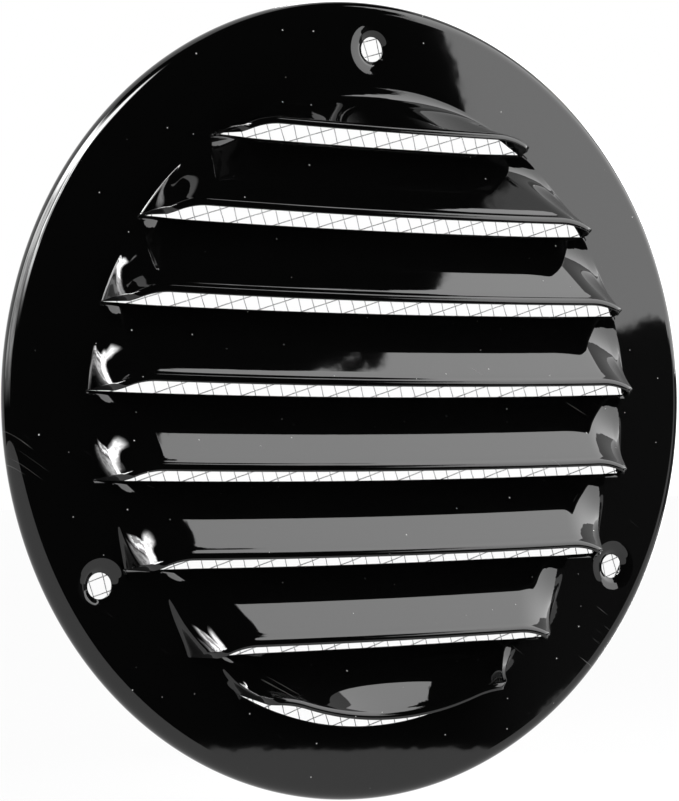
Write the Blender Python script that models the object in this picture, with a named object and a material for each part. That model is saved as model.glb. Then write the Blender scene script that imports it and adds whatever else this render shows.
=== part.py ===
"""Round soffit vent cover: a pressed steel disc with hooded louvres, over a woven insect screen.

The cover is one sheet. Its edge is rolled back and hemmed, its slots are lanced and drawn into
hoods that open downwards, and its screw holes sit in pressed dishes. The screen lies behind the
louvres, with its edge inside the rolled rim.

The frame: the wall is the plane Y = 0, the front looks along -Y, and +Z is up. Metres.
"""

import math

import bmesh
import bpy
from mathutils import Vector

# Sheet and outline of the cover
DISC_RADIUS = 0.080
SHEET = 0.0006
FLANGE_WIDTH = 0.0135
HEM_WIDTH = 0.004

# Louvres: the slots end on one circle, a little below the middle of the disc
FIELD_DROP = 0.0012
SLOT_PITCH = 0.01675
TOP_HOOD_HEIGHT = 0.012
TOP_FILLET = 0.004
SLOT_GAP = 0.002
SLOT_SAG = 0.0009
LIP_RISE = 0.0072
EDGE_RECESS = 0.0019
LIP_TURN = 0.0008
HOOD_END = 0.012
NOSE_END = 0.0065
NOSE_FILLET = 0.001
GAP_START = 0.0032
GAP_END = 0.008
CURVED_SLOT_REACH = 0.031

# Screw holes, each in a wide shallow dish with a steep dimple in its middle
SCREW_COUNT = 3
SCREW_HOLE_RADIUS = 0.0025
DIMPLE_RADIUS = 0.0038
DIMPLE_DEPTH = 0.0006
DISH_RADIUS = 0.0056
DISH_DEPTH = 0.00025
DISH_LAND = 0.0007

# Insect screen: one gap of the model spans several wires of the weave
WIRE_PITCH = 0.003
WIRES_PER_GAP = 5
WIRE_SIZE = 0.00035
SCREEN_EDGE_WIDTH = 0.002
SCREEN_TURN = math.radians(-17)

# Clearances
SLAT_CLEARANCE = 0.0009
SEAT_GAP = 0.0003
SCREEN_EDGE_GAP = 0.0005

# Steps of the curved surfaces
TURNS = 96
ROLL_STEPS = 6
SLAT_STEPS = 3
FILLET_STEPS = 2
MIDDLE_STEPS = 6
END_SHARES = (0.0, 0.05, 0.12, 0.22, 0.36, 0.54, 0.76)
DISH_TURNS = 20
DISH_STEPS = 2
WELD = 1e-6

# Bars are as wide as the wires they span, and the screen is two wires thick where they cross
BAR_WIDTH = WIRES_PER_GAP * WIRE_SIZE
SCREEN_THICKNESS = 2 * WIRE_SIZE

# The rim is as deep as what it holds: slat edges, screen and hem, with their clearances
RIM_DEPTH = EDGE_RECESS + SHEET + SLAT_CLEARANCE + SCREEN_THICKNESS + SEAT_GAP + SHEET
ROLL_RADIUS = RIM_DEPTH / 2
CREASE_RADIUS = DISC_RADIUS - ROLL_RADIUS
FIELD_RADIUS = CREASE_RADIUS - FLANGE_WIDTH
SCREW_CIRCLE_RADIUS = FIELD_RADIUS + DISH_LAND + DISH_RADIUS
SLOT_COUNT = 1 + int((2 * FIELD_RADIUS - 2 * TOP_HOOD_HEIGHT) / SLOT_PITCH)


def clear_scene():
    for item in list(bpy.data.objects):
        bpy.data.objects.remove(item, do_unlink=True)


def paint(name, colour, roughness, metallic):
    material = bpy.data.materials.new(name)
    material.use_nodes = True
    shader = material.node_tree.nodes["Principled BSDF"]
    shader.inputs["Base Color"].default_value = (*colour, 1)
    shader.inputs["Roughness"].default_value = roughness
    shader.inputs["Metallic"].default_value = metallic
    material.diffuse_color = (*colour, 1)
    return material


def add_object(name, bm, material=None):
    mesh = bpy.data.meshes.new(name)
    bm.to_mesh(mesh)
    bm.free()
    item = bpy.data.objects.new(name, mesh)
    bpy.context.scene.collection.objects.link(item)
    if material:
        mesh.materials.append(material)
    return item


def on_face(x, height, rise=0.0):
    """A point at x and height, proud of the flange's front by rise."""
    return Vector((x, -RIM_DEPTH - rise, height))


def blend(low, high, share):
    return low + (high - low) * share


def ease(share):
    """Goes smoothly from 0 to 1."""
    share = min(max(share, 0.0), 1.0)
    return share * share * (3 - 2 * share)


def field_height(x):
    """Height of the slots' circle above its own centre, at x."""
    return math.sqrt(max(FIELD_RADIUS**2 - x**2, 0.0))


def columns(reach):
    """Places across a slot of half length reach, closer together at its two ends."""
    end = min(HOOD_END, reach / 2)
    right = [reach - share * end for share in END_SHARES]
    half = reach - end
    middle = [half * (1 - 2 * i / MIDDLE_STEPS) for i in range(MIDDLE_STEPS + 1)]
    return [-x for x in right] + middle[::-1] + right[::-1]


def end_share(x, reach, length):
    """Share of a length inwards from the slot's end, at x. The length shrinks in a short slot."""
    return min((reach - abs(x)) / min(length, reach / 2), 1.0)


def draw_depth(x, reach, fall_share):
    """Share of the full draw at x: soft ends at a slat's top edge, blunt noses at its lip."""
    soft = ease(end_share(x, reach, HOOD_END))
    blunt = 1 - (1 - end_share(x, reach, NOSE_END)) ** 4
    return blend(soft, blunt * ease(end_share(x, reach, NOSE_FILLET)), fall_share)


def gap_opening(x, reach):
    """Share of the full gap at x. Near the slot's ends the lip stays level with the cut line."""
    share = min(max((reach - abs(x) - GAP_START) / GAP_END, 0.0), 1.0)
    return 1 - (1 - share) ** 2


class Slot:
    """One lanced slot: its lower edge is the cut line, and the lip is drawn up and out from it."""

    def __init__(self, number):
        self.middle = FIELD_RADIUS - FIELD_DROP - TOP_HOOD_HEIGHT - number * SLOT_PITCH
        self.reach = FIELD_RADIUS
        for _ in range(6):
            self.reach = field_height(self.height(self.reach) + FIELD_DROP)

    def height(self, x):
        return self.middle + SLOT_SAG * (x / FIELD_RADIUS) ** 2

    def end_height(self):
        return self.height(self.reach)


class CurvedSlot:
    """The lowest slot, cut along the slots' circle."""

    reach = CURVED_SLOT_REACH

    def height(self, x):
        return -FIELD_DROP - field_height(x)

    def end_height(self):
        return self.height(self.reach)


def slat_shares(upper):
    """Shares of a slat's fall to set rows at. The top slat has more, for its fillet."""
    if upper:
        return [step / SLAT_STEPS for step in range(SLAT_STEPS + 1)]
    fillet = top_fillet_share()
    shares = [fillet * step / FILLET_STEPS for step in range(FILLET_STEPS)]
    return shares + [blend(fillet, 1, step / SLAT_STEPS) for step in range(SLAT_STEPS + 1)]


def top_fillet_share():
    return TOP_FILLET / (TOP_HOOD_HEIGHT - SLOT_GAP - LIP_TURN)


def slat_rise(upper, share):
    """Rise of a slat at a share of its fall: straight, but the top slat starts in a fillet."""
    if upper:
        return blend(-EDGE_RECESS, LIP_RISE, share)
    fillet = top_fillet_share()
    slope = LIP_RISE / (1 - fillet / 2)
    if share < fillet:
        return slope * share**2 / (2 * fillet)
    return slope * (share - fillet / 2)


def slat_rows(upper, lower):
    """Rows of points from a slat's top edge to its lip. The top slat has no slot above it."""
    rows = []
    lower_columns = columns(lower.reach)
    upper_columns = columns(upper.reach) if upper else lower_columns
    for share in slat_shares(upper):
        if upper:
            side = blend(upper.end_height(), lower.end_height(), share)
            reach = field_height(side + FIELD_DROP)
        else:
            reach = lower.reach
        row = []
        for x, x_top, x_lip in zip(columns(reach), upper_columns, lower_columns):
            draw = draw_depth(x, reach, share)
            top = upper.height(x_top) if upper else field_height(x_top) - FIELD_DROP
            lip = lip_height(lower, x_lip) + LIP_TURN * draw_depth(x_lip, lower.reach, 1)
            row.append(on_face(x, blend(top, lip, share), draw * slat_rise(upper, share)))
        rows.append(row)
    rows.append(lip_row(lower, lower_columns))
    return rows


def lip_height(slot, x):
    return slot.height(x) + SLOT_GAP * gap_opening(x, slot.reach)


def lip_row(slot, places):
    """The lip's lower edge, turned straight down from the slat."""
    return [on_face(x, lip_height(slot, x), LIP_RISE * draw_depth(x, slot.reach, 1)) for x in places]


def skin(bm, rows):
    """Joins rows of points, each as long as the next, with faces."""
    lines = [[bm.verts.new(point) for point in row] for row in rows]
    for line, following in zip(lines, lines[1:]):
        for i in range(len(line) - 1):
            bm.faces.new((line[i], line[i + 1], following[i + 1], following[i]))


def closed_line(bm, points):
    """A ring of edges through the points."""
    ring = [bm.verts.new(point) for point in points]
    return [bm.edges.new((ring[i - 1], ring[i])) for i in range(len(ring))]


def circle(x, height, radius, rise, turns):
    """Points round a circle on the cover's front."""
    angles = [2 * math.pi * i / turns for i in range(turns)]
    return [on_face(x + radius * math.cos(a), height + radius * math.sin(a), rise) for a in angles]


def screw_places():
    """Middles of the screw holes, the first one straight above the centre."""
    turn = 2 * math.pi / SCREW_COUNT
    angles = [math.pi / 2 + i * turn for i in range(SCREW_COUNT)]
    return [(SCREW_CIRCLE_RADIUS * math.cos(a), SCREW_CIRCLE_RADIUS * math.sin(a)) for a in angles]


def add_flange(bm, slats):
    """The flat face between the louvres, the dishes and the rolled rim."""
    top_arc = slats[0][0]
    right_side = [rows[step][-1] for rows in slats[1:] for step in range(1, SLAT_STEPS + 1)]
    left_side = [rows[step][0] for rows in slats[1:] for step in range(1, SLAT_STEPS + 1)]
    curved = CurvedSlot()
    bottom_arc = [on_face(x, curved.height(x)) for x in columns(curved.reach)]
    inner = top_arc + right_side + bottom_arc[::-1][1:] + left_side[::-1][1:]
    edges = closed_line(bm, inner)
    edges += closed_line(bm, circle(0, 0, CREASE_RADIUS, 0, TURNS))
    for x, height in screw_places():
        edges += closed_line(bm, circle(x, height, DISH_RADIUS, 0, DISH_TURNS))
    bmesh.ops.triangle_fill(bm, use_beauty=True, edges=edges, normal=(0, -1, 0))


def dish_rise(radius):
    """Rise of the dished sheet at a radius round the screw hole."""
    wide = ease((DISH_RADIUS - radius) / (DISH_RADIUS - SCREW_HOLE_RADIUS))
    steep = ease((DIMPLE_RADIUS - radius) / (DIMPLE_RADIUS - SCREW_HOLE_RADIUS))
    return -DISH_DEPTH * wide - DIMPLE_DEPTH * steep


def add_dish(bm, x, height):
    """The sheet pressed inwards round a screw hole."""
    radii = [blend(DISH_RADIUS, DIMPLE_RADIUS, step / DISH_STEPS) for step in range(DISH_STEPS)]
    steps = DISH_STEPS + 1
    radii += [blend(DIMPLE_RADIUS, SCREW_HOLE_RADIUS, step / steps) for step in range(steps + 1)]
    rows = []
    for radius in radii:
        ring = circle(x, height, radius, dish_rise(radius), DISH_TURNS)
        rows.append(ring + ring[:1])
    skin(bm, rows)


def add_rolled_rim(bm):
    """Half a round turn from the flange to the wall, then a flat hem, spun round the axis."""
    profile = []
    for step in range(ROLL_STEPS + 1):
        angle = math.pi * step / ROLL_STEPS
        radius = CREASE_RADIUS + ROLL_RADIUS * math.sin(angle)
        profile.append(Vector((radius, -ROLL_RADIUS - ROLL_RADIUS * math.cos(angle), 0)))
    profile.append(Vector((CREASE_RADIUS - HEM_WIDTH, 0, 0)))
    points = [bm.verts.new(point) for point in profile]
    edges = [bm.edges.new(pair) for pair in zip(points, points[1:])]
    bmesh.ops.spin(
        bm,
        geom=points + edges,
        cent=(0, 0, 0),
        axis=(0, 1, 0),
        angle=2 * math.pi,
        steps=TURNS,
        use_merge=True,
    )


def make_cover():
    """The whole cover as its front surface, given the sheet's thickness behind."""
    slots = [Slot(number) for number in range(SLOT_COUNT)] + [CurvedSlot()]
    slats = [slat_rows(upper, lower) for upper, lower in zip([None] + slots, slots)]
    bm = bmesh.new()
    add_flange(bm, slats)
    for rows in slats:
        skin(bm, rows)
    for x, height in screw_places():
        add_dish(bm, x, height)
    add_rolled_rim(bm)
    bmesh.ops.remove_doubles(bm, verts=bm.verts, dist=WELD)
    bmesh.ops.recalc_face_normals(bm, faces=bm.faces)
    front = min(bm.faces, key=lambda face: face.calc_center_median().y)
    if front.normal.y > 0:
        bmesh.ops.reverse_faces(bm, faces=bm.faces)
    enamel = paint("black_enamel", (0.002, 0.002, 0.002), 0.05, 0.0)
    cover = add_object("louvre_cover", bm, enamel)
    sheet = cover.modifiers.new("sheet", "SOLIDIFY")
    sheet.thickness = SHEET
    sheet.offset = -1
    sheet.use_even_offset = True
    cover.data.shade_smooth()
    cover.data.set_sharp_from_angle(angle=math.radians(25))
    return cover


def add_lattice(bm, count, pitch):
    """A square grid of bars, each with a ridge along its front and its back."""
    ridge = 0.45 * SCREEN_THICKNESS
    flank = 0.25 * SCREEN_THICKNESS
    start = -count * pitch / 2
    nodes = {}
    for side in (-1, 1):
        for i in range(count + 1):
            for j in range(count + 1):
                place = (start + i * pitch, side * ridge, start + j * pitch)
                nodes[side, i, j] = bm.verts.new(place)
    for i in range(count):
        for j in range(count):
            add_gap(bm, nodes, i, j, flank)
    for i in range(count):
        for fixed in (0, count):
            for a, b in (((i, fixed), (i + 1, fixed)), ((fixed, i), (fixed, i + 1))):
                bm.faces.new((nodes[-1, *a], nodes[-1, *b], nodes[1, *b], nodes[1, *a]))


def add_gap(bm, nodes, i, j, flank):
    """One gap: the bars' flanks slope down to it on both sides, and its walls join them."""
    corners = [(i, j), (i + 1, j), (i + 1, j + 1), (i, j + 1)]
    middle = sum((nodes[1, *c].co for c in corners), Vector()) / 4
    rims = {}
    for side in (-1, 1):
        rims[side] = []
        for c in corners:
            place = nodes[side, *c].co.copy()
            place.x += math.copysign(BAR_WIDTH / 2, middle.x - place.x)
            place.z += math.copysign(BAR_WIDTH / 2, middle.z - place.z)
            place.y = side * flank
            rims[side].append(bm.verts.new(place))
        for n in range(4):
            outer = nodes[side, *corners[n - 1]], nodes[side, *corners[n]]
            bm.faces.new((*outer, rims[side][n], rims[side][n - 1]))
    for n in range(4):
        bm.faces.new((rims[-1][n - 1], rims[-1][n], rims[1][n], rims[1][n - 1]))


def add_turned_ring(bm, inner, outer, half):
    """A flat ring of rectangular section round the axis, or a disc where inner is 0."""
    if inner:
        section = [(inner, -half), (outer, -half), (outer, half), (inner, half), (inner, -half)]
    else:
        section = [(0, -half), (outer, -half), (outer, half), (0, half)]
    points = [bm.verts.new((radius, y, 0)) for radius, y in section]
    edges = [bm.edges.new(pair) for pair in zip(points, points[1:])]
    bmesh.ops.spin(
        bm,
        geom=points + edges,
        cent=(0, 0, 0),
        axis=(0, 1, 0),
        angle=2 * math.pi,
        steps=TURNS,
        use_merge=True,
    )
    bmesh.ops.remove_doubles(bm, verts=bm.verts, dist=WELD)
    bmesh.ops.recalc_face_normals(bm, faces=bm.faces)


def make_helper(name, inner, outer, half):
    """A turned solid that only shapes the screen."""
    bm = bmesh.new()
    add_turned_ring(bm, inner, outer, half)
    helper = add_object(name, bm)
    helper.hide_render = True
    helper.display_type = "WIRE"
    return helper


def combine(item, other, operation):
    step = item.modifiers.new(other.name, "BOOLEAN")
    step.operation = operation
    step.solver = "EXACT"
    step.object = other


def make_screen():
    """The screen: the weave as a lattice, cut round, with its edge pressed flat into a ring."""
    radius = CREASE_RADIUS - SCREEN_EDGE_GAP
    pitch = WIRE_PITCH * WIRES_PER_GAP
    count = 2 * math.ceil(radius * math.sqrt(2) / pitch)
    bm = bmesh.new()
    add_lattice(bm, count, pitch)
    bmesh.ops.recalc_face_normals(bm, faces=bm.faces)
    wire = paint("galvanised_wire", (0.60, 0.61, 0.62), 0.35, 1.0)
    screen = add_object("insect_screen", bm, wire)
    trim_radius = radius - SCREEN_EDGE_WIDTH / 2
    trim = make_helper("screen_trim", 0, trim_radius, 2 * SCREEN_THICKNESS)
    edge = make_helper("screen_edge", radius - SCREEN_EDGE_WIDTH, radius, SCREEN_THICKNESS / 2)
    depth = -SHEET - SEAT_GAP - SCREEN_THICKNESS / 2
    for item in (screen, trim, edge):
        item.location.y = depth
        item.rotation_euler.y = SCREEN_TURN
    combine(screen, trim, "INTERSECT")
    combine(screen, edge, "UNION")
    return screen


clear_scene()
make_cover()
make_screen()
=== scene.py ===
"""A round soffit vent cover: one pressed and enamelled steel disc over a woven wire screen.

The disc hangs upright with its front along -Y and the wall behind it at Y = 0. Lengths are in metres,
and only the camera's own sizes are in millimetres.
"""

import math

import bmesh
import bpy
from mathutils import Matrix, Vector


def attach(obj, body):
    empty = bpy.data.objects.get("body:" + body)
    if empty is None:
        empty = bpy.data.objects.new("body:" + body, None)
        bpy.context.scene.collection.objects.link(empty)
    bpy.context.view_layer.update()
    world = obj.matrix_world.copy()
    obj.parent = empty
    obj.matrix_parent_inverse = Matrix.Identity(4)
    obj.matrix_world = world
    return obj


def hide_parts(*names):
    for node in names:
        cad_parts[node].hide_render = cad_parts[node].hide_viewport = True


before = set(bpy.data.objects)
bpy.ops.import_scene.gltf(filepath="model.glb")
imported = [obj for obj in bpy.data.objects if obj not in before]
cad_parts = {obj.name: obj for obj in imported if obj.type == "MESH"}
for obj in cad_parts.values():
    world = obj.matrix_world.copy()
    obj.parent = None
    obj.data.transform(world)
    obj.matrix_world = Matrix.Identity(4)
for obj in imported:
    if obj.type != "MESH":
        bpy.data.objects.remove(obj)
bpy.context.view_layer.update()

# The camera stands level with the disc, half a metre away and well to the left of its front, with
# a short telephoto lens. The picture is upright, so the sensor's size counts along its height.
CAMERA_PLACE = Vector((-0.27315, -0.42347, -0.00468))
CAMERA_AIM = Vector((-0.00814, -0.005, -0.00018))
camera_data = bpy.data.cameras.new("camera")
camera_data.sensor_fit = "VERTICAL"
camera_data.sensor_height = 36
camera_data.lens = 112.2
camera_data.clip_start = 0.05
camera_data.clip_end = 50
camera = bpy.data.objects.new("camera", camera_data)
camera.location = CAMERA_PLACE
camera.rotation_euler = (CAMERA_AIM - CAMERA_PLACE).to_track_quat("-Z", "Y").to_euler()
bpy.context.scene.collection.objects.link(camera)
bpy.context.scene.camera = camera

# The cover is a disc of 0.6 mm steel sheet. The press lances its slots, draws the strips above them
# out into hoods, and dishes the sheet round the screw holes. Last, the edge is rolled back and
# hemmed, and the whole cover is coated in black enamel.
DISC_RADIUS = 0.080
SHEET = 0.0006
RIM_DEPTH = 0.005
ROLL_RADIUS = RIM_DEPTH / 2
CREASE_RADIUS = DISC_RADIUS - ROLL_RADIUS
FIELD_RADIUS = 0.064
FIELD_DROP = 0.0012
HEM_WIDTH = 0.0022


def on_face(x, height, rise=0.0):
    """A point at x and height, proud of the flange's front by rise."""
    return Vector((x, -RIM_DEPTH - rise, height))


def blend(low, high, share):
    return low + (high - low) * share


def ease(share):
    """Goes smoothly from 0 to 1."""
    share = min(max(share, 0.0), 1.0)
    return share * share * (3 - 2 * share)


def field_height(x):
    """Height of the slots' circle above its own centre, at x."""
    return math.sqrt(max(FIELD_RADIUS**2 - x**2, 0.0))


def spread(low, high, steps):
    return [blend(low, high, i / steps) for i in range(steps + 1)]


def skin(bm, rows):
    """Joins rows of points, each as long as the next, with faces."""
    lines = [[bm.verts.new(point) for point in row] for row in rows]
    for line, following in zip(lines, lines[1:]):
        for i in range(len(line) - 1):
            bm.faces.new((line[i], line[i + 1], following[i + 1], following[i]))


def closed_line(bm, points):
    """A ring of edges through the points."""
    ring = [bm.verts.new(point) for point in points]
    return [bm.edges.new((ring[i - 1], ring[i])) for i in range(len(ring))]


# The hoods open downwards. Each is a flat ramp from the cut edge of the slot above, pushed in a
# little, to a lip that stands well proud, where the sheet bends down again. Its ends close in blunt
# noses, and the gap opens a little way inside them. The lowest slot follows the slots' circle.
SLOT_COUNT = 7
SLOT_PITCH = 0.01675
TOP_HOOD_HEIGHT = 0.012
TOP_FILLET = 0.004
SLOT_GAP = 0.002
SLOT_SAG = 0.0009
LIP_RISE = 0.0072
EDGE_RECESS = 0.0019
LIP_TURN = 0.0014
LIP_BEND = 0.0015
LIP_KICK = 0.07
LIP_CURL = 0.65
CURL_END = 0.0042
CUT_ROUND = 0.00015
HOOD_END = 0.012
NOSE_END = 0.0065
NOSE_BLUNTNESS = 4
NOSE_LEAN = 0.5
NOSE_FILLET = 0.001
GAP_START = 0.0032
GAP_END = 0.008
CURVED_SLOT_REACH = 0.031
KICK_SHARE = 0.06
REACH_TRIES = 6
COLUMN_CROWDING = 1.4
RAMP_STEPS = 18
KICK_STEPS = 5
BEND_STEPS = 8
CUT_STEPS = 3
END_STEPS = 26
MIDDLE_STEPS = 36


def columns(reach):
    """Places across a slot of half length reach, closer together at its two ends."""
    end = min(HOOD_END, reach / 2)
    right = [reach - end * share**COLUMN_CROWDING for share in spread(0, 1, END_STEPS)][:-1]
    middle = spread(end - reach, reach - end, MIDDLE_STEPS)
    return [-x for x in right] + middle + right[::-1]


def end_share(x, reach, length):
    """Share of a length inwards from the slot's end, at x. The length shrinks in a short slot."""
    return min(max((reach - abs(x)) / min(length, reach / 2), 0.0), 1.0)


def draw_depth(x, reach, fall_share):
    """Share of the full draw at x: soft ends at a slat's top edge, blunt noses at its lip."""
    soft = ease(end_share(x, reach, HOOD_END))
    blunt = 1 - (1 - end_share(x, reach, NOSE_END)) ** NOSE_BLUNTNESS
    return blend(soft, blunt * ease(end_share(x, reach, NOSE_FILLET)), fall_share**2)


def gap_opening(x, reach):
    """Share of the full gap at x. Near the slot's ends the lip stays level with the cut line."""
    share = min(max((reach - abs(x) - GAP_START) / GAP_END, 0.0), 1.0)
    return 1 - (1 - share) ** 2


class Slot:
    """One lanced slot: its lower edge is the cut line, and the lip is drawn up and out from it."""

    def __init__(self, number):
        self.middle = FIELD_RADIUS - FIELD_DROP - TOP_HOOD_HEIGHT - number * SLOT_PITCH
        self.reach = FIELD_RADIUS
        for _ in range(REACH_TRIES):
            self.reach = field_height(self.height(self.reach) + FIELD_DROP)

    def height(self, x):
        return self.middle + SLOT_SAG * (x / FIELD_RADIUS) ** 2


class CurvedSlot:
    """The lowest slot, cut along the slots' circle."""

    reach = CURVED_SLOT_REACH

    def height(self, x):
        return -FIELD_DROP - field_height(x)


def bend_radius(tilt):
    """Radius of the lip's bend, less where a steep hood leaves no room for it."""
    return min(LIP_BEND, (LIP_TURN - CUT_ROUND) / math.sin(tilt))


def ramp_rise(share, fall, start, tilt):
    """Rise of a hood at a share of its fall. Where no slot lies above it, it starts in a soft fillet."""
    end = LIP_RISE - bend_radius(tilt) * (1 - math.cos(tilt))
    if start < 0:
        kick = max(share - 1 + KICK_SHARE, 0.0)
        return blend(start, end, share) + fall * LIP_KICK * kick * (kick / KICK_SHARE - 1)
    fillet = TOP_FILLET / fall
    slope = end / (1 - fillet / 2)
    if share < fillet:
        return slope * share**2 / (2 * fillet)
    return slope * (share - fillet / 2)


def lip_height(slot, x):
    return slot.height(x) + SLOT_GAP * gap_opening(x, slot.reach)


def lip_rows(slot, tilt):
    """The lip: a bend from the ramp to straight down, then the rounded cut edge."""
    section = []
    radius = bend_radius(tilt)
    for step in range(1, BEND_STEPS + 1):
        angle = tilt * (1 - step / BEND_STEPS)
        above = LIP_TURN - radius * (math.sin(tilt) - math.sin(angle))
        section.append((above, radius * (1 - math.cos(angle))))
    for angle in spread(0, math.pi / 2, CUT_STEPS):
        section.append((CUT_ROUND * (1 - math.sin(angle)), CUT_ROUND * (1 - math.cos(angle))))
    rows = []
    for above, back in section:
        row = []
        for x in [-slot.reach] + columns(slot.reach) + [slot.reach]:
            draw = draw_depth(x, slot.reach, 1)
            curl = LIP_CURL * (1 - end_share(x, slot.reach, CURL_END)) * (1 - above / LIP_TURN)
            rise = (LIP_RISE - back) * draw * (1 - curl)
            row.append(on_face(x, lip_height(slot, x) + above * draw, rise))
        rows.append(row)
    return rows


def ramp_shares():
    """Shares of a ramp's fall to set rows at, closer together where it nears the lip."""
    return spread(0, 1 - KICK_SHARE, RAMP_STEPS)[:-1] + spread(1 - KICK_SHARE, 1, KICK_STEPS)


def slat_rows(upper, lower):
    """Rows of points from a slat's top edge to its lip. The top slat has no slot above it."""
    start = -EDGE_RECESS if upper else 0.0
    fall = SLOT_PITCH - SLOT_GAP - LIP_TURN if upper else TOP_HOOD_HEIGHT - SLOT_GAP - LIP_TURN
    tilt = math.atan2(LIP_RISE - start, fall if upper else fall - TOP_FILLET / 2)
    rows = []
    for share in ramp_shares():
        reach = lower.reach
        if upper:
            side = blend(upper.height(upper.reach), lower.height(lower.reach), share)
            reach = field_height(side + FIELD_DROP)
        half = min(reach, blend(lower.reach, reach, NOSE_LEAN))
        row = []
        for x in [-reach] + columns(half) + [reach]:
            draw = draw_depth(x, half, share)
            x_top = x * upper.reach / reach if upper else x
            x_lip = x * lower.reach / reach
            top = upper.height(x_top) if upper else field_height(x_top) - FIELD_DROP
            lip = lip_height(lower, x_lip) + LIP_TURN * draw_depth(x_lip, lower.reach, 1)
            row.append(on_face(x, blend(top, lip, share), draw * ramp_rise(share, fall, start, tilt)))
        rows.append(row)
    if upper:
        half_top = min(upper.reach, blend(lower.reach, upper.reach, NOSE_LEAN))
        edge = []
        for point in rows[0]:
            cut = CUT_ROUND * draw_depth(point.x, half_top, 0)
            edge.append(point + Vector((0, cut, 0)))
            point.z -= cut
        rows.insert(0, edge)
    return rows + lip_rows(lower, tilt)


slots = [Slot(number) for number in range(SLOT_COUNT)] + [CurvedSlot()]
slats = [slat_rows(upper, lower) for upper, lower in zip([None] + slots, slots)]
cover_mesh = bmesh.new()
for slat in slats:
    skin(cover_mesh, slat)

# Each of the three screw holes sits in a dish that the press makes in the flange: wide and shallow
# at first, then steep down to the hole.
SCREW_COUNT = 3
SCREW_CIRCLE_RADIUS = 0.0703
SCREW_HOLE_RADIUS = 0.0025
DISH_RADIUS = 0.0056
DISH_DEPTH = 0.00025
DIMPLE_RADIUS = 0.0038
DIMPLE_DEPTH = 0.0007
DIMPLE_OVERRUN = 0.0006
GUARD = 0.0003
DISH_TURNS = 72
DISH_STEPS = 22


def circle(x, height, radius, rise, turns):
    """Points round a circle on the cover's front."""
    angles = [2 * math.pi * i / turns for i in range(turns)]
    return [on_face(x + radius * math.cos(a), height + radius * math.sin(a), rise) for a in angles]


def dish_rise(radius):
    """Rise of the dished sheet at a radius round the screw hole."""
    wide = ease((DISH_RADIUS - radius) / (DISH_RADIUS - SCREW_HOLE_RADIUS))
    steep = ease((DIMPLE_RADIUS - radius) / (DIMPLE_RADIUS - SCREW_HOLE_RADIUS + DIMPLE_OVERRUN))
    return -DISH_DEPTH * wide - DIMPLE_DEPTH * steep


flat_edges = []
for i in range(SCREW_COUNT):
    bearing = math.pi / 2 + 2 * math.pi * i / SCREW_COUNT
    hole_x = SCREW_CIRCLE_RADIUS * math.cos(bearing)
    hole_z = SCREW_CIRCLE_RADIUS * math.sin(bearing)
    dish = []
    for radius in [DISH_RADIUS + GUARD] + spread(DISH_RADIUS, SCREW_HOLE_RADIUS, DISH_STEPS):
        ring = circle(hole_x, hole_z, radius, dish_rise(radius), DISH_TURNS)
        dish.append(ring + ring[:1])
    skin(cover_mesh, dish)
    flat_edges += closed_line(cover_mesh, circle(hole_x, hole_z, DISH_RADIUS + GUARD, 0, DISH_TURNS))

# The flat flange lies between the hoods, the dishes and the rim. The rim is the sheet's edge, rolled
# half a turn back and hemmed flat. A guard line beside each bend keeps the flange's shading flat.
RIM_TURNS = 288
ROLL_STEPS = 22
WELD = 2e-6

top_arc = slats[0][0]
side_rows = [slat[1 : len(ramp_shares()) + 1] for slat in slats[1:]]
right_side = [row[-1] for rows in side_rows for row in rows[1:]]
left_side = [row[0] for rows in side_rows for row in rows[1:]]
bottom_arc = [on_face(x, CurvedSlot().height(x)) for x in columns(CURVED_SLOT_REACH)]
outline = top_arc + right_side + bottom_arc[::-1][1:] + left_side[::-1][1:]
following_points = outline[1:] + outline[:1]
outline = [point for point, other in zip(outline, following_points) if (point - other).length > WELD]
guard_line = []
for point in outline:
    outwards = Vector((point.x, 0, point.z + FIELD_DROP)).normalized()
    guard_line.append(point + outwards * GUARD)
skin(cover_mesh, [outline + outline[:1], guard_line + guard_line[:1]])
flat_edges += closed_line(cover_mesh, guard_line)
flat_edges += closed_line(cover_mesh, circle(0, 0, CREASE_RADIUS - GUARD, 0, RIM_TURNS))
bmesh.ops.triangle_fill(cover_mesh, use_beauty=True, edges=flat_edges, normal=(0, -1, 0))

HEM_RADIUS = CREASE_RADIUS - HEM_WIDTH
profile = [(CREASE_RADIUS - GUARD, -RIM_DEPTH)]
for angle in spread(0, math.pi, ROLL_STEPS):
    profile.append((CREASE_RADIUS + ROLL_RADIUS * math.sin(angle), -ROLL_RADIUS * (1 + math.cos(angle))))
profile += [(CREASE_RADIUS - GUARD, 0), (HEM_RADIUS + GUARD, 0), (HEM_RADIUS, 0)]
rim_rows = []
for radius, depth in profile:
    angles = [2 * math.pi * i / RIM_TURNS for i in range(RIM_TURNS + 1)]
    rim_rows.append([Vector((radius * math.cos(a), depth, radius * math.sin(a))) for a in angles])
skin(cover_mesh, rim_rows)

bmesh.ops.remove_doubles(cover_mesh, verts=cover_mesh.verts, dist=WELD)
bmesh.ops.dissolve_degenerate(cover_mesh, edges=cover_mesh.edges, dist=WELD / 2)
bmesh.ops.recalc_face_normals(cover_mesh, faces=cover_mesh.faces)
if sum(face.normal.y * face.calc_area() for face in cover_mesh.faces) > 0:
    bmesh.ops.reverse_faces(cover_mesh, faces=cover_mesh.faces)
cover_data = bpy.data.meshes.new("cover")
cover_mesh.to_mesh(cover_data)
cover_mesh.free()
cover_data.shade_smooth()
cover = bpy.data.objects.new("cover", cover_data)
bpy.context.scene.collection.objects.link(cover)
sheet = cover.modifiers.new("sheet", "SOLIDIFY")
sheet.thickness = SHEET
sheet.offset = -1


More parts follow.
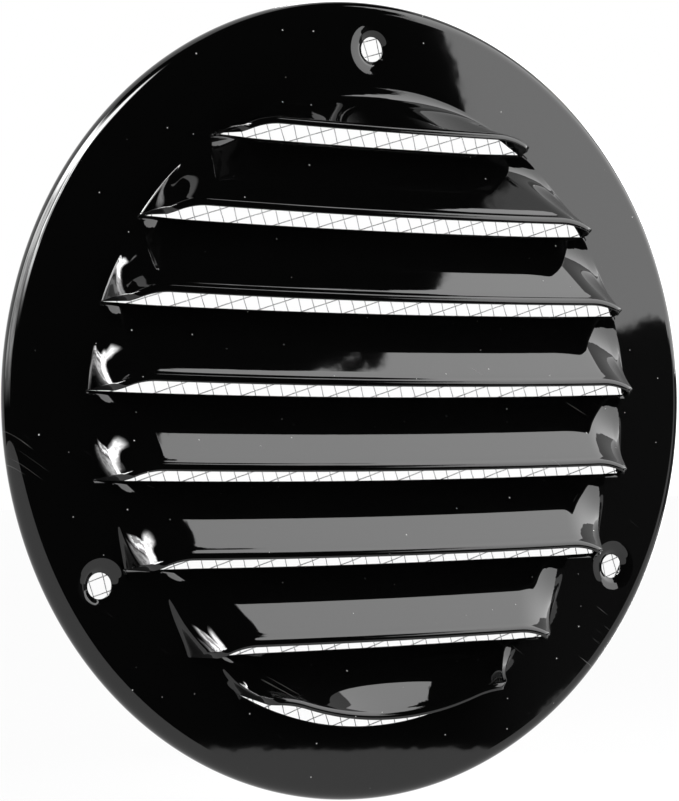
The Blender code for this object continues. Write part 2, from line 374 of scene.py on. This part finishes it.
class Link:
    """A socket in a material. Sums written with links add the Math nodes that work them out."""

    def __init__(self, tree, socket):
        self.tree = tree
        self.socket = socket

    def node(self, kind, settings=(), output=0, **sockets):
        """Adds a node of any kind, sets it up, feeds its sockets, and returns one of its outputs."""
        made = self.tree.nodes.new("ShaderNode" + kind)
        for name, value in dict(settings).items():
            setattr(made, name, value)
        for name, value in sockets.items():
            key = int(name[1:]) if name[1:].isdigit() else name.replace("_", " ")
            if isinstance(value, Link):
                self.tree.links.new(value.socket, made.inputs[key])
            else:
                made.inputs[key].default_value = value
        return Link(self.tree, made.outputs[output])

    def other(self, output):
        """Another output of the node that this link comes from."""
        return Link(self.tree, self.socket.node.outputs[output])

    def feed(self, socket):
        self.tree.links.new(self.socket, socket)

    def maths(self, operation, other=0.0, third=0.0):
        return self.node("Math", {"operation": operation}, i0=self, i1=other, i2=third)

    def __add__(self, other):
        return self.maths("ADD", other)

    __radd__ = __add__

    def __mul__(self, other):
        return self.maths("MULTIPLY", other)

    __rmul__ = __mul__

    def __sub__(self, other):
        return self.maths("SUBTRACT", other)

    def __rsub__(self, other):
        return self.maths("MULTIPLY_ADD", -1.0, other)

    def __gt__(self, other):
        return self.maths("GREATER_THAN", other)

    def most(self, other):
        """The larger of the two."""
        return self.maths("MAXIMUM", other)

    def between(self, start, full):
        """Goes smoothly from 0 at start to 1 at full, upwards or downwards."""
        settings = {"interpolation_type": "SMOOTHSTEP"}
        return self.node("MapRange", settings, Value=self, i1=start, i2=full)

    def tint(self, none, all_over):
        """A colour between two, by this share."""
        return self.node("Mix", {"data_type": "RGBA"}, 2, i0=self, i6=none, i7=all_over)


def new_material(name):
    """A material, a link to start expressions from, and its Principled shader."""
    material = bpy.data.materials.new(name)
    material.use_nodes = True
    tree = material.node_tree
    shader = tree.nodes["Principled BSDF"]
    place = Link(tree, tree.nodes.new("ShaderNodeTexCoord").outputs["Object"])
    return material, place, shader


# The enamel covers the whole sheet: very dark and glossy, with a faint orange peel. Dust specks lie
# all over it, and a few fine scratches from its middle down. Both are dull and lighter than the gloss.
ENAMEL_COLOUR = (0.002, 0.002, 0.002, 1)
DUST_COLOUR = (0.5, 0.5, 0.49, 1)
GLOSS_ROUGHNESS = 0.02
WORN_ROUGHNESS = 0.5
PEEL_SCALE = 260.0
PEEL_SHARE = 0.25
WAVE_SCALE = 45.0
PEEL_DEPTH = 0.000012
SPECKS_PER_METRE = 150.0
SPECK_RADIUS_SHARE = 0.03
SPECK_EDGE_SHARE = 0.01
BARE_SHARE = 0.6
SCRATCH_SLANT = 0.6
SCRATCH_SCALE = (60, 2600, 1)
SCRATCH_BAND = (0.75, 0.82)
PATCH_SCALE = 60.0
PATCH_BAND = (0.6, 0.68)
SCRATCH_TOP = (0.016, 0.008)
SCRATCH_STRENGTH = 0.15

enamel, place, shader = new_material("black_enamel")
shader.inputs["IOR"].default_value = 1.5
peel = place.node("TexNoise", Vector=place, Scale=PEEL_SCALE, Detail=1.0)
wave = place.node("TexNoise", Vector=place, Scale=WAVE_SCALE, Detail=0.0)
height = peel * PEEL_SHARE + wave
bump = place.node("Bump", Height=height, Strength=1.0, Distance=PEEL_DEPTH)
bump.feed(shader.inputs["Normal"])
across = place.node("SeparateXYZ", Vector=place)
up = across.other("Z")
on_front = place.node("CombineXYZ", X=across, Y=up)
flat = {"voronoi_dimensions": "2D"}
speck_middle = place.node("TexVoronoi", flat, Vector=on_front, Scale=SPECKS_PER_METRE)
chance = place.node("SeparateXYZ", Vector=speck_middle.other("Color"))
size = chance.other("Y")
speck = (size * SPECK_RADIUS_SHARE - speck_middle).between(0.0, SPECK_EDGE_SHARE) * (chance > BARE_SHARE)
slanted = place.node("Mapping", Vector=on_front, Rotation=(0, 0, SCRATCH_SLANT))
stretched = place.node("Mapping", Vector=slanted, Scale=SCRATCH_SCALE)
scratch = place.node("TexNoise", Vector=stretched, Scale=1.0, Detail=0.0).between(*SCRATCH_BAND)
patch = place.node("TexNoise", Vector=place, Scale=PATCH_SCALE, Detail=2.0).between(*PATCH_BAND)
patch = patch * up.between(*SCRATCH_TOP)
worn = speck.most(scratch * patch * SCRATCH_STRENGTH)
worn.tint(ENAMEL_COLOUR, DUST_COLOUR).feed(shader.inputs["Base Color"])
(GLOSS_ROUGHNESS + worn * WORN_ROUGHNESS).feed(shader.inputs["Roughness"])
cover_data.materials.append(enamel)
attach(cover, "root")
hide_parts("louvre_cover")

# The screen is a plain weave of fine galvanised wire, which keeps insects out. It is cut to a disc
# and trapped inside the rolled rim. Each wire passes over and under the wires that it crosses.
WIRE_PITCH = 0.003
WIRE_RADIUS = 0.00011
SCREEN_DEPTH = 0.0014
SCREEN_CLEARANCE = 0.0005
SCREEN_RADIUS = CREASE_RADIUS - SCREEN_CLEARANCE
SCREEN_TURN = math.radians(-17)
POINTS_PER_PITCH = 3
WIRE_SIDES = 6


def wire_path(number, half_length, side):
    """A wire of the weave, in the weave's own axes: how far along, and how far off the middle."""
    steps = max(2, round(2 * half_length / WIRE_PITCH * POINTS_PER_PITCH))
    path = []
    for along in spread(-half_length, half_length, steps):
        lift = WIRE_RADIUS * math.cos(math.pi * (along / WIRE_PITCH + number)) * side
        path.append((along, lift))
    return path


screen_points = []
screen_faces = []
wires_each_way = int(SCREEN_RADIUS / WIRE_PITCH)
for side in (1, -1):
    for number in range(-wires_each_way, wires_each_way + 1):
        off = number * WIRE_PITCH
        path = wire_path(number, math.sqrt(SCREEN_RADIUS**2 - off**2), side)
        first = len(screen_points)
        for along, lift in path:
            for k in range(WIRE_SIDES):
                angle = 2 * math.pi * k / WIRE_SIDES
                beside_middle = off + WIRE_RADIUS * math.cos(angle)
                depth = lift + WIRE_RADIUS * math.sin(angle)
                upright = (beside_middle, depth, along)
                screen_points.append(upright if side > 0 else upright[::-1])
        for ring in range(len(path) - 1):
            for k in range(WIRE_SIDES):
                a = first + ring * WIRE_SIDES + k
                b = first + ring * WIRE_SIDES + (k + 1) % WIRE_SIDES
                screen_faces.append((a, b, b + WIRE_SIDES, a + WIRE_SIDES))
screen_data = bpy.data.meshes.new("screen")
screen_data.from_pydata(screen_points, [], screen_faces)
screen_shape = bmesh.new()
screen_shape.from_mesh(screen_data)
bmesh.ops.recalc_face_normals(screen_shape, faces=screen_shape.faces)
screen_shape.to_mesh(screen_data)
screen_shape.free()
screen_data.shade_smooth()
screen_data.transform(Matrix.Translation((0, -SCREEN_DEPTH, 0)) @ Matrix.Rotation(SCREEN_TURN, 4, "Y"))
screen = bpy.data.objects.new("screen", screen_data)
bpy.context.scene.collection.objects.link(screen)

ZINC_COLOUR = (0.97, 0.97, 0.97, 1)
DULL_ZINC_COLOUR = (0.82, 0.83, 0.84, 1)
ZINC_ROUGHNESS = 0.4
DULL_ZINC_ROUGHNESS = 0.65
BLOTCH_SCALE = 700.0
BLOTCH_BAND = (0.35, 0.65)
zinc, place, shader = new_material("galvanised_wire")
shader.inputs["Specular IOR Level"].default_value = 0.2
blotch = place.node("TexNoise", Vector=place, Scale=BLOTCH_SCALE, Detail=3.0).between(*BLOTCH_BAND)
blotch.tint(ZINC_COLOUR, DULL_ZINC_COLOUR).feed(shader.inputs["Base Color"])
rough = ZINC_ROUGHNESS + blotch * (DULL_ZINC_ROUGHNESS - ZINC_ROUGHNESS)
rough.feed(shader.inputs["Roughness"])
screen_data.materials.append(zinc)
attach(screen, "root")
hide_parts("insect_screen")

# A white room: the world and a wide pale floor, which the camera and every reflection see as white.
# The floor keeps a little of its own paint, so that it still shows the cover's shadow.
world = bpy.data.worlds.new("white_room")
world.use_nodes = True
bpy.context.scene.world = world
background = world.node_tree.nodes["Background"]
background.inputs["Color"].default_value = (1, 1, 1, 1)
background.inputs["Strength"].default_value = 1.0

FLOOR_DROP = 0.59
FLOOR_SIZE = 30.0
FLOOR_COLOUR = (0.8, 0.8, 0.8, 1)
FLOOR_GLOW = 0.85
floor_data = bpy.data.meshes.new("floor")
floor_shape = bmesh.new()
bmesh.ops.create_grid(floor_shape, x_segments=1, y_segments=1, size=FLOOR_SIZE / 2)
floor_shape.to_mesh(floor_data)
floor_shape.free()
floor = bpy.data.objects.new("floor", floor_data)
floor.location.z = -FLOOR_DROP
bpy.context.scene.collection.objects.link(floor)
floor_paint, place, shader = new_material("floor_paint")
shader.inputs["Base Color"].default_value = FLOOR_COLOUR
shader.inputs["Roughness"].default_value = 0.8
camera_ray = place.node("LightPath")
seen = camera_ray.most(camera_ray.other("Is Glossy Ray")).most(camera_ray.other("Is Transmission Ray"))
glow = place.node("Emission", Strength=1.0)
painted = Link(place.tree, shader.outputs[0])
lit = place.node("MixShader", i0=seen * FLOOR_GLOW, i1=painted, i2=glow)
lit.feed(place.tree.nodes["Material Output"].inputs["Surface"])
floor_data.materials.append(floor_paint)

# The surroundings that the gloss mirrors: a dark tent round the front. Only reflections see it. At
# the front right it has one wide bright panel, over a ragged skyline and a strip of pale ground. At
# the left it has a bright window, a dimmer wall beside it and a skylight over them.
TENT_RADIUS = 4.0
TENT_LOWEST = -8.4
TENT_HIGHEST = 89.9
TENT_LEFT = -125
TENT_RIGHT = 150
TENT_STEPS_ROUND = 60
TENT_STEPS_UP = 24
tent_shape = bmesh.new()
tent_rows = []
for rise in spread(math.radians(TENT_LOWEST), math.radians(TENT_HIGHEST), TENT_STEPS_UP):
    row = []
    for turn in spread(math.radians(TENT_LEFT), math.radians(TENT_RIGHT), TENT_STEPS_ROUND):
        away = TENT_RADIUS * math.cos(rise)
        row.append(Vector((away * math.sin(turn), -away * math.cos(turn), TENT_RADIUS * math.sin(rise))))
    tent_rows.append(row)
skin(tent_shape, tent_rows)
tent_data = bpy.data.meshes.new("tent")
tent_shape.to_mesh(tent_data)
tent_shape.free()
tent = bpy.data.objects.new("tent", tent_data)
bpy.context.scene.collection.objects.link(tent)


def only_mirrored(backdrop):
    """Hides a backdrop from all but reflections."""
    backdrop.visible_camera = False
    backdrop.visible_diffuse = False
    backdrop.visible_shadow = False
    backdrop.visible_transmission = False


only_mirrored(tent)

# The tent's lights, in degrees: turn goes round from the front to the right, and rise goes up. Each
# soft edge is given as the place where it starts and the place where it is full.
SHARP = 0.15
RAGGED_SCALE = 5.0
SKYLINE_RISE = 2.6
SKYLINE_BANK = 36.8
SKYLINE_SLOPE = 4
SKYLINE_RAGGED = 3
PANEL_LEFT = 33.6
PANEL_LEAN = 0.45
PANEL_UPRIGHT_TO = 12
PANEL_RAGGED = 9
PANEL_STRENGTH = 3.4
PANEL_GAIN = 0.8
PANEL_BRIGHTER = (5, 40)
ROOF_RISE = 54.8
ROOF_STEP = 3.2
ROOF_STEP_TURNS = (53, 61)
ROOF_RAGGED = 5
CORNER_TURN = 67.5
CORNER_RISE = 50
CORNER_LEAN = 0.88
CORNER_RAGGED = 4
CORNER_SOFT = 0.4
OPEN_BELOW = (14, 10)
BEYOND_STRENGTH = 0.8
BEYOND_GAIN = 3
BEYOND_BRIGHTER = (108, 122)
GROUND_RISE = -8.5
GROUND_BANK = 36.3
GROUND_SLOPE = 0.9
GROUND_RAGGED = 1.6
GROUND_TURNS = ((18, 22), (62, 58))
GROUND_SHARP = 0.1
HAZE = ((35, 38), (4, 2))
HAZE_STRENGTH = 0.05
CRUMPLED_SCALE = 1.6
CRUMPLED_BAND = (0.44, 0.54)
WINDOW = ((-62, -58), (-31, -37), (10, 25), (54, 50))
WINDOW_STRENGTH = (8, 26)
WINDOW_BRIGHTER = (10, 35)
WALL = ((-124, -118), (-60, -68), (-2, 12), (68, 52))
WALL_STRENGTH = (5, 13)
WALL_BRIGHTER = (15, 45)
WALL_CRUMPLING = (0.6, 1.1)
SKYLIGHT = ((-117, -109), (-8, -20), (43, 51), (64, 58))
SKYLIGHT_STRENGTH = (18, 28)
EDGE_LIGHT = ((70, 140), (15, 9))
EDGE_LIGHT_STRENGTH = 1.5
BACK_LIGHT = (105, 125)

tent_cloth, place, shader = new_material("tent_cloth")
east = place.node("SeparateXYZ", Vector=place)
turn = east.maths("ARCTAN2", east.other("Y") * -1.0) * (180 / math.pi)
rise = (east.other("Z") * (1 / TENT_RADIUS)).maths("ARCSINE") * (180 / math.pi)
ragged = place.node("TexNoise", Vector=place, Scale=RAGGED_SCALE, Detail=8.0, Roughness=0.62) - 0.5
crumpled = place.node("TexNoise", Vector=place, Scale=CRUMPLED_SCALE, Detail=3.0, Roughness=0.6)
crumpled = crumpled.between(*CRUMPLED_BAND)


def patch_of_light(left, right, bottom, top):
    return turn.between(*left) * turn.between(*right) * rise.between(*bottom) * rise.between(*top)


def from_to(share, low, high):
    return share * (high - low) + low


skyline = SKYLINE_RISE + (SKYLINE_BANK - turn).most(0.0) * SKYLINE_SLOPE + ragged * SKYLINE_RAGGED
panel_left = (rise - PANEL_UPRIGHT_TO).most(0.0) * PANEL_LEAN + PANEL_LEFT + ragged * PANEL_RAGGED
roof = ROOF_RISE - turn.between(*ROOF_STEP_TURNS) * ROOF_STEP + ragged * ROOF_RAGGED
past_corner = turn - CORNER_TURN - (CORNER_RISE - rise) * CORNER_LEAN
past_corner = past_corner - ragged * CORNER_RAGGED
under_roof = (roof - rise).between(-SHARP, SHARP)
panel = (turn - panel_left).between(-SHARP, SHARP) * (rise - skyline).between(-SHARP, SHARP) * under_roof
panel = panel * past_corner.between(CORNER_SOFT, -CORNER_SOFT).most(rise.between(*OPEN_BELOW))
strength = panel * (PANEL_STRENGTH + rise.between(*PANEL_BRIGHTER) * PANEL_GAIN)
beyond = past_corner.between(-CORNER_SOFT, CORNER_SOFT) * under_roof
strength = strength.most(beyond * (turn.between(*BEYOND_BRIGHTER) * BEYOND_GAIN + BEYOND_STRENGTH))
ground_top = GROUND_RISE + (turn - GROUND_BANK).most(0.0) * GROUND_SLOPE + ragged * GROUND_RAGGED
ground = (ground_top - rise).between(-GROUND_SHARP, GROUND_SHARP)
for edge in GROUND_TURNS:
    ground = ground * turn.between(*edge)
strength = strength.most(ground)
strength = strength.most(turn.between(*HAZE[0]) * rise.between(*HAZE[1]) * HAZE_STRENGTH)
window_strength = from_to(crumpled, *WINDOW_STRENGTH) * rise.between(*WINDOW_BRIGHTER)
strength = strength + patch_of_light(*WINDOW) * window_strength
wall_strength = from_to(rise.between(*WALL_BRIGHTER), *WALL_STRENGTH)
wall_strength = wall_strength * from_to(crumpled, *WALL_CRUMPLING)
strength = strength + patch_of_light(*WALL) * wall_strength
strength = strength + patch_of_light(*SKYLIGHT) * from_to(crumpled, *SKYLIGHT_STRENGTH)
edge_light = turn.between(*EDGE_LIGHT[0]) * rise.between(*EDGE_LIGHT[1]) * EDGE_LIGHT_STRENGTH
strength = strength + edge_light + turn.between(*BACK_LIGHT)
place.node("Emission", Strength=strength).feed(place.tree.nodes["Material Output"].inputs["Surface"])
tent_data.materials.append(tent_cloth)

# A black card hangs behind the screen, as dark as the duct would be. Only reflections see it, so the
# gloss doesn't mirror the screen against the white room.
CARD_GAP = 0.004
CARD_TURNS = 96
card_shape = bmesh.new()
bmesh.ops.create_circle(card_shape, cap_ends=True, segments=CARD_TURNS, radius=HEM_RADIUS)
card_data = bpy.data.meshes.new("card")
card_shape.to_mesh(card_data)
card_shape.free()
card_data.transform(Matrix.Translation((0, CARD_GAP, 0)) @ Matrix.Rotation(math.pi / 2, 4, "X"))
card = bpy.data.objects.new("card", card_data)
bpy.context.scene.collection.objects.link(card)
only_mirrored(card)
card_paint, place, shader = new_material("card_paint")
shader.inputs["Base Color"].default_value = (0.0, 0.0, 0.0, 1)
shader.inputs["Specular IOR Level"].default_value = 0.0
card_data.materials.append(card_paint)

bpy.context.scene.view_settings.view_transform = "Standard"
bpy.context.view_layer.update()
